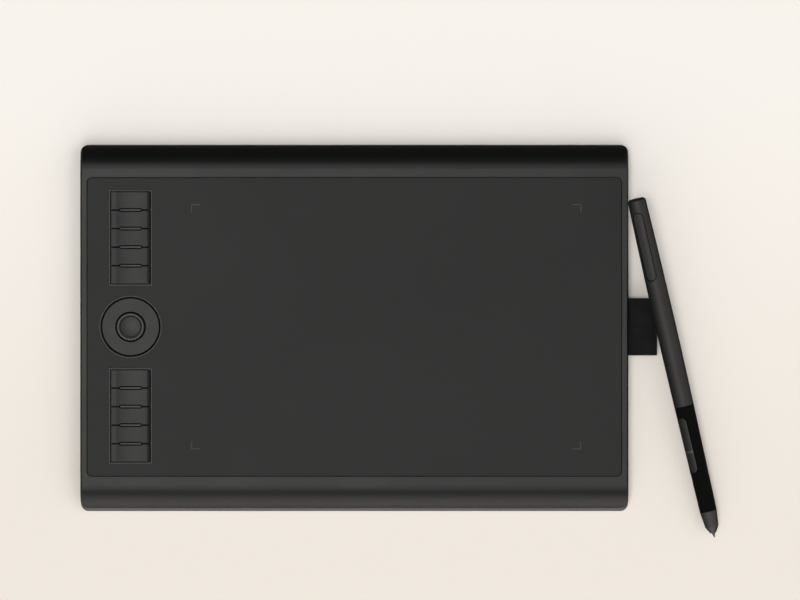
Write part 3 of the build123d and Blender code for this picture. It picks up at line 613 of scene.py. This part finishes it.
@dataclass(frozen=True)
class Striped(Finish):
    """A skin with fine parallel stripes: a board's tracks, a flat cable's wires or the turns of a winding.

    Attributes:
        name: the material's name.
        ground: the colour between the stripes.
        stripe: the stripes' colour.
        pitch: the distance from stripe to stripe.
        direction: the direction across them.
        share: how much of the pitch a stripe takes.
        roughness: how matt the skin is.
        metallic: 1 for a metal.
        stripe_height: how far the stripes stand out.
        blur: how far their edges fade, as a share of the pitch.
    """

    name: str
    ground: Colour
    stripe: Colour
    pitch: float
    direction: Direction = (0.0, 1.0, 0.0)
    share: float = 0.5
    roughness: float = 0.35
    metallic: float = 0.0
    stripe_height: float = 0.02 * MM
    blur: float = 0.04

    def build(self) -> Material:
        """Makes the material.

        Returns:
            The finished material.
        """
        material, board, shader = self.start()
        step = board.math("FRACT", board.math("DIVIDE", board.along(self.direction), self.pitch))
        away = board.math("ABSOLUTE", board.math("SUBTRACT", step, 0.5))
        mask = board.ramp(away, self.share / 2 + self.blur, self.share / 2 - self.blur)
        board.put(shader.inputs["Base Color"], board.mix(mask, rgba(self.ground), rgba(self.stripe)))
        bump = board.add("Bump", Height=mask, Distance=self.stripe_height)
        board.put(shader.inputs["Normal"], bump.outputs[0])
        shader.inputs["Roughness"].default_value = self.roughness
        shader.inputs["Metallic"].default_value = self.metallic
        return material


@dataclass(frozen=True)
class Elastic(Finish):
    """Woven elastic webbing: crossing yarns with dark gaps and a faint fuzz.

    Attributes:
        name: the material's name.
        yarn: the yarns' colour.
        gap: the colour between them.
        pitch: the distance over which the weave repeats.
        depth: how high the yarns stand.
        patch_size: how far apart the faded patches lie.
        fading: how much paler they are.
        roughness: how matt the yarns are.
        specular: the shader's specular level.
        sheen: how strong the fuzz is.
        sheen_roughness: how broad it is.
    """

    name: str
    yarn: Colour
    gap: Colour
    pitch: float = 0.9 * MM
    depth: float = 0.12 * MM
    patch_size: float = 9 * MM
    fading: float = 1.35
    roughness: float = 0.9
    specular: float = 0.1
    sheen: float = 0.04
    sheen_roughness: float = 0.5

    def build(self) -> Material:
        """Makes the material.

        Returns:
            The finished material.
        """
        material, board, shader = self.start()
        weave = Effects.place(board, Effect.WEAVE, Pitch=self.pitch)
        marks = Effects.place(board, Effect.HANDLING, Size=self.patch_size)
        faded = tuple(part * self.fading for part in self.yarn)
        yarn = board.mix(marks.outputs[0], rgba(self.yarn), rgba(faded))
        board.put(shader.inputs["Base Color"], board.mix(weave.outputs["Gaps"], yarn, rgba(self.gap)))
        bump = board.add("Bump", Height=weave.outputs["Height"], Distance=self.depth)
        board.put(shader.inputs["Normal"], bump.outputs[0])
        shader.inputs["Roughness"].default_value = self.roughness
        shader.inputs["Specular IOR Level"].default_value = self.specular
        shader.inputs["Sheen Weight"].default_value = self.sheen
        shader.inputs["Sheen Roughness"].default_value = self.sheen_roughness
        return material


def dress(finish: Finish, *nodes: str) -> None:
    """Gives one finish to CAD nodes.

    Args:
        finish: the finish to build.
        nodes: names of the nodes that wear it.
    """
    material = finish.build()
    for name in nodes:
        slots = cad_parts[name].data.materials
        slots.clear()
        slots.append(material)
    log.info("%s dresses %s", finish.name, ", ".join(nodes))


def new_piece(name: str, points: list[Vector], faces: list[tuple[int, ...]], finish: Finish) -> Object:
    """A new smooth mesh piece in the scene.

    Args:
        name: the piece's name.
        points: the vertices, in metres.
        faces: each face's vertex numbers.
        finish: the finish it wears.

    Returns:
        The piece.
    """
    mesh = bpy.data.meshes.new(name)
    mesh.from_pydata([tuple(point) for point in points], [], faces)
    mesh.validate()
    mesh.materials.append(finish.build())
    for face in mesh.polygons:
        face.use_smooth = True
    piece = bpy.data.objects.new(name, mesh)
    bpy.context.scene.collection.objects.link(piece)
    return piece


@dataclass
class Studio:
    """The pale floor, the soft light all round, and the camera straight above.

    Attributes:
        frame_width: how much the picture spans at the height of the case's top.
        aim_x: where the picture's middle lies across.
        aim_y: where it lies in depth.
        camera_height: how high the camera hangs.
        sensor_width: the camera's sensor.
        clip_end: how far the camera sees.
        floor_reach: how far the floor goes each way.
        floor_near: the paper's colour in front.
        floor_far: its colour behind.
        tint: the lights' colour.
        fill: light from everywhere.
        overhead: the softbox's strength.
        overhead_axis: the direction towards it.
        overhead_inner: degrees from that direction within which it is at full strength.
        overhead_outer: degrees at which it ends.
        front: the front light's strength at the horizon.
        front_start: how far towards the front it starts.
        front_sides: how far aside it starts to lose strength and has lost its share.
        front_side_loss: the share that it loses.
        right: the right strip's strength.
        right_edges: how far to the right it starts and is full.
        left: the left strip's strength.
        left_edges: how far to the left it starts and is full.
        strip_middle: where the strips' middle lies in depth.
        strip_edges: how far off that middle they start to end and are gone.
    """

    frame_width: float = 0.5253
    aim_x: float = 0.0300
    aim_y: float = 0.0185
    camera_height: float = 3.0
    sensor_width: float = 0.036
    clip_end: float = 100.0
    floor_reach: float = 30.0
    floor_near: Colour = (0.818, 0.770, 0.714)
    floor_far: Colour = (0.884, 0.852, 0.815)
    tint: Colour = (1.0, 0.985, 0.965)
    fill: float = 0.043
    overhead: float = 6.9
    overhead_axis: Direction = (-0.154, -0.039, 1.0)
    overhead_inner: float = 7.2
    overhead_outer: float = 22.4
    front: float = 3.4
    front_start: float = 0.39
    front_sides: tuple[float, float] = (0.35, 0.85)
    front_side_loss: float = 0.26
    right: float = 1.15
    right_edges: tuple[float, float] = (0.2, 0.6)
    left: float = 0.17
    left_edges: tuple[float, float] = (0.3, 0.8)
    strip_middle: float = -0.05
    strip_edges: tuple[float, float] = (0.3, 0.7)

    def camera(self) -> None:
        """Hangs the camera over the middle of the photograph's frame, looking straight down."""
        data = bpy.data.cameras.new("camera")
        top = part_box("top_case")[1].z
        data.sensor_width = self.sensor_width / MM
        data.lens = self.sensor_width * (self.camera_height - top) / self.frame_width / MM
        data.clip_end = self.clip_end
        camera = bpy.data.objects.new("camera", data)
        camera.location = (self.aim_x, self.aim_y, self.camera_height)
        bpy.context.scene.collection.objects.link(camera)
        bpy.context.scene.camera = camera

    def floor(self) -> None:
        """Lays a pale floor far out in every direction."""
        signs = ((-1, -1), (1, -1), (1, 1), (-1, 1))
        corners = [Vector((x * self.floor_reach, y * self.floor_reach, 0.0)) for x, y in signs]
        paper = Paper("floor_paper", self.floor_near, self.floor_far)
        new_piece("floor", corners, [(0, 1, 2, 3)], paper)

    def light(self) -> None:
        """Lights from the world: a softbox overhead, a broad one in front, strips beside, and dim fill."""
        world = bpy.data.worlds.new("studio")
        world.use_nodes = True
        bpy.context.scene.world = world
        board = Board(world.node_tree)
        towards = board.add("TexCoord").outputs["Generated"]
        split = board.add("SeparateXYZ", Vector=towards)
        x, y = split.outputs["X"], split.outputs["Y"]
        axis = tuple(Vector(self.overhead_axis).normalized())
        facing = board.add("VectorMath", {"operation": "DOT_PRODUCT"}, i0=towards, i1=axis).outputs["Value"]
        turn = board.math("ARCCOSINE", facing)
        inner, outer = math.radians(self.overhead_inner), math.radians(self.overhead_outer)
        overhead = board.ramp(turn, inner, outer, self.overhead, 0.0)
        front = board.ramp(board.math("MULTIPLY", y, -1.0), self.front_start, 1.0, 0.0, self.front)
        kept = 1.0 - self.front_side_loss
        aside = board.ramp(board.math("ABSOLUTE", x), *self.front_sides, 1.0, kept)
        off_middle = board.math("ABSOLUTE", board.math("SUBTRACT", y, self.strip_middle))
        band = board.ramp(off_middle, *self.strip_edges, 1.0, 0.0)
        right = board.ramp(x, *self.right_edges, 0.0, self.right)
        left = board.ramp(board.math("MULTIPLY", x, -1.0), *self.left_edges, 0.0, self.left)
        strips = board.math("MULTIPLY", board.math("ADD", right, left), band)
        lamps = board.math("ADD", overhead, board.math("MULTIPLY", front, aside))
        total = board.math("ADD", board.math("ADD", lamps, strips), self.fill)
        background = board.add("Background", Strength=total)
        background.inputs["Color"].default_value = rgba(self.tint)
        board.add("OutputWorld", Surface=background.outputs[0])

    def build(self) -> None:
        """Sets up the whole stage."""
        self.camera()
        self.floor()
        self.light()
        bpy.context.scene.view_settings.view_transform = "Standard"
        log.info("stage ready")


@dataclass
class Case:
    """The two shells with their feet and screws."""

    plastic: Colour = (0.0044, 0.0044, 0.0044)
    cover: Colour = (0.060, 0.059, 0.058)
    rubber: Colour = (0.018, 0.018, 0.018)
    screws: Colour = (0.16, 0.16, 0.17)

    def build(self) -> None:
        """Dresses the shells, feet and screws."""
        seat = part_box("drawing_sheet")[0].z
        # the shell's gaps below the sheet's seat take the full painted shade
        shell = Moulded("case_plastic", self.plastic, 0.37, specular=0.216, polish=0.02, gap_floor=seat)
        dress(shell, "top_case")
        dress(Moulded("cover_plastic", self.cover, 0.42, specular=0.3), "bottom_cover")
        rubber = Moulded("foot_rubber", self.rubber, 0.8, specular=0.3, grain_size=0.8 * MM)
        dress(rubber, "rubber_feet")
        dress(Metal("screw_steel", self.screws, 0.35), "case_screws", "board_screws")


@dataclass
class DrawingSurface:
    """The matt drawing sheet with its printed corner marks."""

    film: Colour = (0.0044, 0.0044, 0.0044)
    ink: Colour = (0.027, 0.027, 0.027)

    def build(self) -> None:
        """Dresses the sheet and the marks."""
        sheet = Moulded(
            "sheet_film",
            self.film,
            0.48,
            specular=0.216,
            grain_size=0.3 * MM,
            grain_depth=0.006 * MM,
            patch_size=120 * MM,
            polish=0.01,
            # the sheet's window lips are painted paler, as a painted highlight
            lip_height=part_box("drawing_sheet")[1].z,
        )
        dress(sheet, "drawing_sheet")
        dress(Printed("mark_print", self.ink, self.film), "area_marks")


@dataclass
class ControlColumn:
    """The keys, the pills between them, the touch ring and its button."""

    keys: Colour = (0.0048, 0.0048, 0.0048)
    pills: Colour = (0.018, 0.018, 0.018)
    ring: Colour = (0.0035, 0.0035, 0.0035)
    button: Colour = (0.005, 0.005, 0.005)

    def build(self) -> None:
        """Dresses the keys, pills, ring and button."""
        names = sorted(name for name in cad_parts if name.startswith("key_") and name[4:].isdigit())
        satin = {"specular": 0.216, "polish": 0.02}
        # the keys' gaps take painted shade over a wider reach
        cap = {"edge_radius": 0.3 * MM, "gap_reach": 2.7 * MM}
        dress(Moulded("key_plastic", self.keys, 0.39, **cap, **satin), *names)
        dress(Moulded("pill_plastic", self.pills, 0.36, **satin), "key_divider_upper", "key_divider_lower")
        dress(Moulded("ring_plastic", self.ring, 0.37, patch_size=12 * MM, **satin), "touch_ring")
        rim = {
            "lip_height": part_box("ring_button")[1].z,
            "lip_depth": 0.085 * MM,
            "lip_fade": 0.02 * MM,
            # painted shade: a thin dark line at the rim's foot
            "lip_foot_shade": 0.05 * MM,
            # painted highlight: the rim's paler base colour
            "lip_highlight_gain": 5.5,
        }
        dress(Moulded("button_plastic", self.button, 0.36, patch_size=8 * MM, **rim, **satin), "ring_button")


@dataclass
class Electronics:
    """Boards, chips, switches, shield, flat cables, the cable's socket and the loop's anchor."""

    mask: Colour = (0.012, 0.075, 0.035)
    track: Colour = (0.02, 0.13, 0.06)
    track_pitch: float = 2.4 * MM
    film: Colour = (0.50, 0.20, 0.03)
    wire: Colour = (0.30, 0.10, 0.015)
    wire_pitch: float = 1.0 * MM
    chips: Colour = (0.02, 0.02, 0.02)
    switches: Colour = (0.55, 0.55, 0.56)
    socket: Colour = (0.50, 0.50, 0.51)
    shield: Colour = (0.45, 0.45, 0.46)
    anchor: Colour = (0.04, 0.04, 0.04)

    def build(self) -> None:
        """Dresses what the case holds."""
        boards = ("control_board", "sensor_board", "ring_sensor_board", "pen_board")
        dress(Striped("board_laminate", self.mask, self.track, self.track_pitch), *boards)
        switches = ("key_switches_upper", "key_switches_lower", "ring_switch", "pen_switches")
        dress(Metal("switch_steel", self.switches, 0.28), *switches)
        dress(Metal("socket_steel", self.socket, 0.25), "usb_socket")
        dress(Metal("shield_steel", self.shield, 0.4), "shield_plate")
        dress(Moulded("chip_resin", self.chips, 0.5), "control_chips")
        ribbon = Striped("ribbon_film", self.film, self.wire, self.wire_pitch)
        dress(ribbon, "sensor_ribbon", "ring_ribbon")
        dress(Moulded("anchor_plastic", self.anchor, 0.5), "loop_anchor")


@dataclass
class PenLoop:
    """The elastic loop on the right side, woven with raised ribs along its length.

    Attributes:
        thickness: the webbing's thickness.
        shoulder_share: how much of its rise the loop has halfway to its crown.
        rib_pitch: the distance from rib to rib.
        rib_height: how far a rib stands out.
        rib_steps: the points across one rib.
        edge_share: the share of the thickness left at the very edge.
        path_step: the distance from row to row along the loop.
        yarn: the yarns' colour.
        gap: the colour between them.
    """

    thickness: float = 1.1 * MM
    shoulder_share: float = 0.8
    rib_pitch: float = 1.15 * MM
    rib_height: float = 0.14 * MM
    rib_steps: int = 6
    edge_share: float = 0.02
    path_step: float = 0.35 * MM
    yarn: Colour = (0.009, 0.009, 0.009)
    gap: Colour = (0.002, 0.002, 0.002)

    def centre_line(self) -> list[tuple[float, float]]:
        """The middle of the band as (x, height) points, from its upper end round to its lower end.

        Returns:
            Points a short even step apart, heights measured from the loop's middle.
        """
        low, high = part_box("pen_loop")
        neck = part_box("top_case")[1].x
        half = (high.z - low.z) / 2
        crown = high.x - half
        inset = self.thickness / 2
        first = Vector((neck, self.thickness))
        rise = self.shoulder_share * (half - self.thickness)
        shoulder = Vector(((neck + crown) / 2, self.thickness + rise))
        centre, radius = circle_through(first, shoulder, Vector((crown, half)))
        upper = [(low.x, inset)]
        start = math.atan2(first.y - centre.y, first.x - centre.x)
        end = math.atan2(half - centre.y, crown - centre.x)
        upper += arc_points(centre, radius - inset, start, end, self.path_step)
        upper += arc_points(Vector((crown, 0.0)), half - inset, math.pi / 2, 0.0, self.path_step)
        return upper + [(x, -height) for x, height in reversed(upper[:-1])]

    def half_thickness(self, across: float, width: float) -> float:
        """Half the band's thickness at a place across its width, with ribs and rounded edges.

        Args:
            across: distance from one edge.
            width: the band's width.

        Returns:
            Half the thickness there.
        """
        full = self.thickness / 2
        rib = self.rib_height * (1 - abs(math.sin(math.pi * across / self.rib_pitch)))
        edge = min(across, width - across, full) / full
        rounded = math.sqrt(max(0.0, 1 - (1 - edge) ** 2))
        return (full - rib) * rounded * (1 - self.edge_share) + self.edge_share * full

    def build(self) -> None:
        """Weaves the band in the place of its plain solid."""
        low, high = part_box("pen_loop")
        middle = (low.z + high.z) / 2
        width = high.y - low.y
        line = [Vector(point) for point in self.centre_line()]
        count = round(width / self.rib_pitch) * self.rib_steps
        stations = [i * width / count for i in range(count + 1)]
        points: list[Vector] = []
        lengths: list[float] = []
        travelled = 0.0
        for i, here in enumerate(line):
            before = line[max(i - 1, 0)]
            after = line[min(i + 1, len(line) - 1)]
            along = (after - before).normalized()
            travelled += (here - before).length
            lengths.append(travelled)
            out = Vector((-along.y, along.x))
            for side in (1, -1):
                for across in stations:
                    reach = side * self.half_thickness(across, width)
                    spot = here + out * reach
                    points.append(Vector((spot.x, low.y + across, middle + spot.y)))
        faces = band_faces(len(line), len(stations))
        finish = Elastic("loop_elastic", self.yarn, self.gap)
        band = new_piece("loop_webbing", points, faces, finish)
        layer = band.data.uv_layers.new(name="band")
        for loop in band.data.loops:
            row, rest = divmod(loop.vertex_index, 2 * len(stations))
            layer.data[loop.index].uv = (lengths[row], stations[rest % len(stations)])
        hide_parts("pen_loop")
        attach(band, "tablet")
        log.info("loop_webbing %.1f mm by %.1f mm", width / MM, travelled / MM)


def circle_through(first: Vector, second: Vector, third: Vector) -> tuple[Vector, float]:
    """The circle through three points.

    Args:
        first: one point.
        second: another point.
        third: a third point, not in line with them.

    Returns:
        The circle's centre and radius.
    """
    to_second = second - first
    to_third = third - first
    cross = 2 * (to_second.x * to_third.y - to_second.y * to_third.x)
    a, b = to_second.length_squared, to_third.length_squared
    centre = first + Vector((to_third.y * a - to_second.y * b, to_second.x * b - to_third.x * a)) / cross
    return centre, (first - centre).length


def arc_points(
    centre: Vector, radius: float, start: float, end: float, step: float
) -> list[tuple[float, float]]:
    """Points along an arc.

    Args:
        centre: the arc's centre.
        radius: its radius.
        start: the first point's angle, in radians.
        end: the last point's angle.
        step: the longest distance between points.

    Returns:
        The points, both ends included.
    """
    count = max(2, math.ceil(abs(end - start) * radius / step))
    angles = [start + i * (end - start) / count for i in range(count + 1)]
    return [(centre.x + radius * math.cos(a), centre.y + radius * math.sin(a)) for a in angles]


def band_faces(rows: int, columns: int) -> list[tuple[int, ...]]:
    """Faces that close a band whose rows each hold an upper and a lower line of points.

    Args:
        rows: how many rows there are along the band.
        columns: how many points each line has.

    Returns:
        The faces' vertex numbers.
    """
    faces: list[tuple[int, ...]] = []
    row = 2 * columns
    ring = [*range(columns), *range(row - 1, columns - 1, -1)]
    for i in range(rows - 1):
        for j in range(row):
            a, b = ring[j], ring[(j + 1) % row]
            faces.append((i * row + a, i * row + b, (i + 1) * row + b, (i + 1) * row + a))
    last = (rows - 1) * row
    for j in range(columns - 1):
        faces.append((j + 1, j, columns + j, columns + j + 1))
        faces.append((last + j, last + j + 1, last + columns + j + 1, last + columns + j))
    return faces


@dataclass
class Pen:
    """The pen with its barrel, plate, grip, side buttons, nose and nib, and what they hold.

    Attributes:
        axis: the direction from tail to tip.
        split_width: how wide the painted highlight line between the side buttons is.
        split_highlight_gain: how much paler it is painted.
        wire_pitch: the distance from turn to turn of the winding.
    """

    barrel: Colour = (0.046, 0.0455, 0.045)
    rubber: Colour = (0.0035, 0.0035, 0.0035)
    nose: Colour = (0.055, 0.054, 0.053)
    plate: Colour = (0.028, 0.028, 0.028)
    nib: Colour = (0.03, 0.03, 0.03)
    core: Colour = (0.06, 0.06, 0.06)
    cell: Colour = (0.60, 0.60, 0.61)
    ferrite: Colour = (0.05, 0.05, 0.055)
    wire: Colour = (0.62, 0.27, 0.12)
    wire_shade: Colour = (0.25, 0.09, 0.03)
    wire_pitch: float = 0.2 * MM
    axis: Direction = (0.228, -0.971, -0.067)
    split_width: float = 1.0 * MM
    split_highlight_gain: float = 3.2

    @staticmethod
    def far_end(node: str, axis: Direction) -> float:
        """How far a node's mesh reaches along an axis."""
        direction = Vector(axis)
        return max(vertex.co.dot(direction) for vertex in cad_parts[node].data.vertices)

    def build(self) -> None:
        """Dresses the pen, outside and inside."""
        lacquer = {"metallic": 1.0, "edge_tint": 0.1, "polish": 0.02}
        dress(Moulded("pen_lacquer", self.barrel, 0.6, patch_size=25 * MM, **lacquer), "pen_barrel")
        # the plate's edges are painted darker, as painted shade along its outline
        soft_edge = {"edge_radius": 0.4 * MM, "edge_wear_and_painted_light_gain": 0.2}
        dress(Moulded("plate_plastic", self.plate, 0.5, specular=0.15, **soft_edge), "pen_plate")
        dress(Moulded("grip_rubber", self.rubber, 0.75, specular=0.02, grain_size=0.3 * MM), "pen_grip")
        dress(Moulded("nose_lacquer", self.nose, 0.55, **lacquer), "pen_nose")
        back = tuple(-part for part in self.axis)
        rear_end = self.far_end("pen_button_rear", self.axis)
        front_end = -self.far_end("pen_button_front", back)
        # the split between the side buttons is painted paler, as a painted highlight
        line = {
            "line_axis": self.axis,
            "line_place": (rear_end + front_end) / 2,
            "line_width": self.split_width,
            "line_highlight_gain": self.split_highlight_gain,
        }
        # the side buttons' edges are painted paler: wear and a painted highlight
        buttons = Moulded("pen_button_lacquer", self.barrel, 0.55, edge_wear_and_painted_light_gain=2.5, **line, **lacquer)
        dress(buttons, "pen_button_rear", "pen_button_front")
        dress(Moulded("nib_plastic", self.nib, 0.5), "pen_nib")
        dress(Moulded("core_plastic", self.core, 0.5), "grip_core", "nib_holder")
        dress(Metal("cell_metal", self.cell, 0.3), "pressure_cell")
        dress(Moulded("ferrite", self.ferrite, 0.6), "coil_core")
        turns = {"direction": self.axis, "metallic": 1.0}
        copper = Striped("winding_copper", self.wire_shade, self.wire, self.wire_pitch, **turns)
        dress(copper, "coil_winding")


def main() -> None:
    """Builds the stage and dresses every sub-assembly."""
    logging.basicConfig(level=logging.INFO, format="%(name)s: %(message)s")
    for part in (Studio(), Case(), DrawingSurface(), ControlColumn(), Electronics(), PenLoop(), Pen()):
        part.build()


if __name__ == "__main__":
    main()
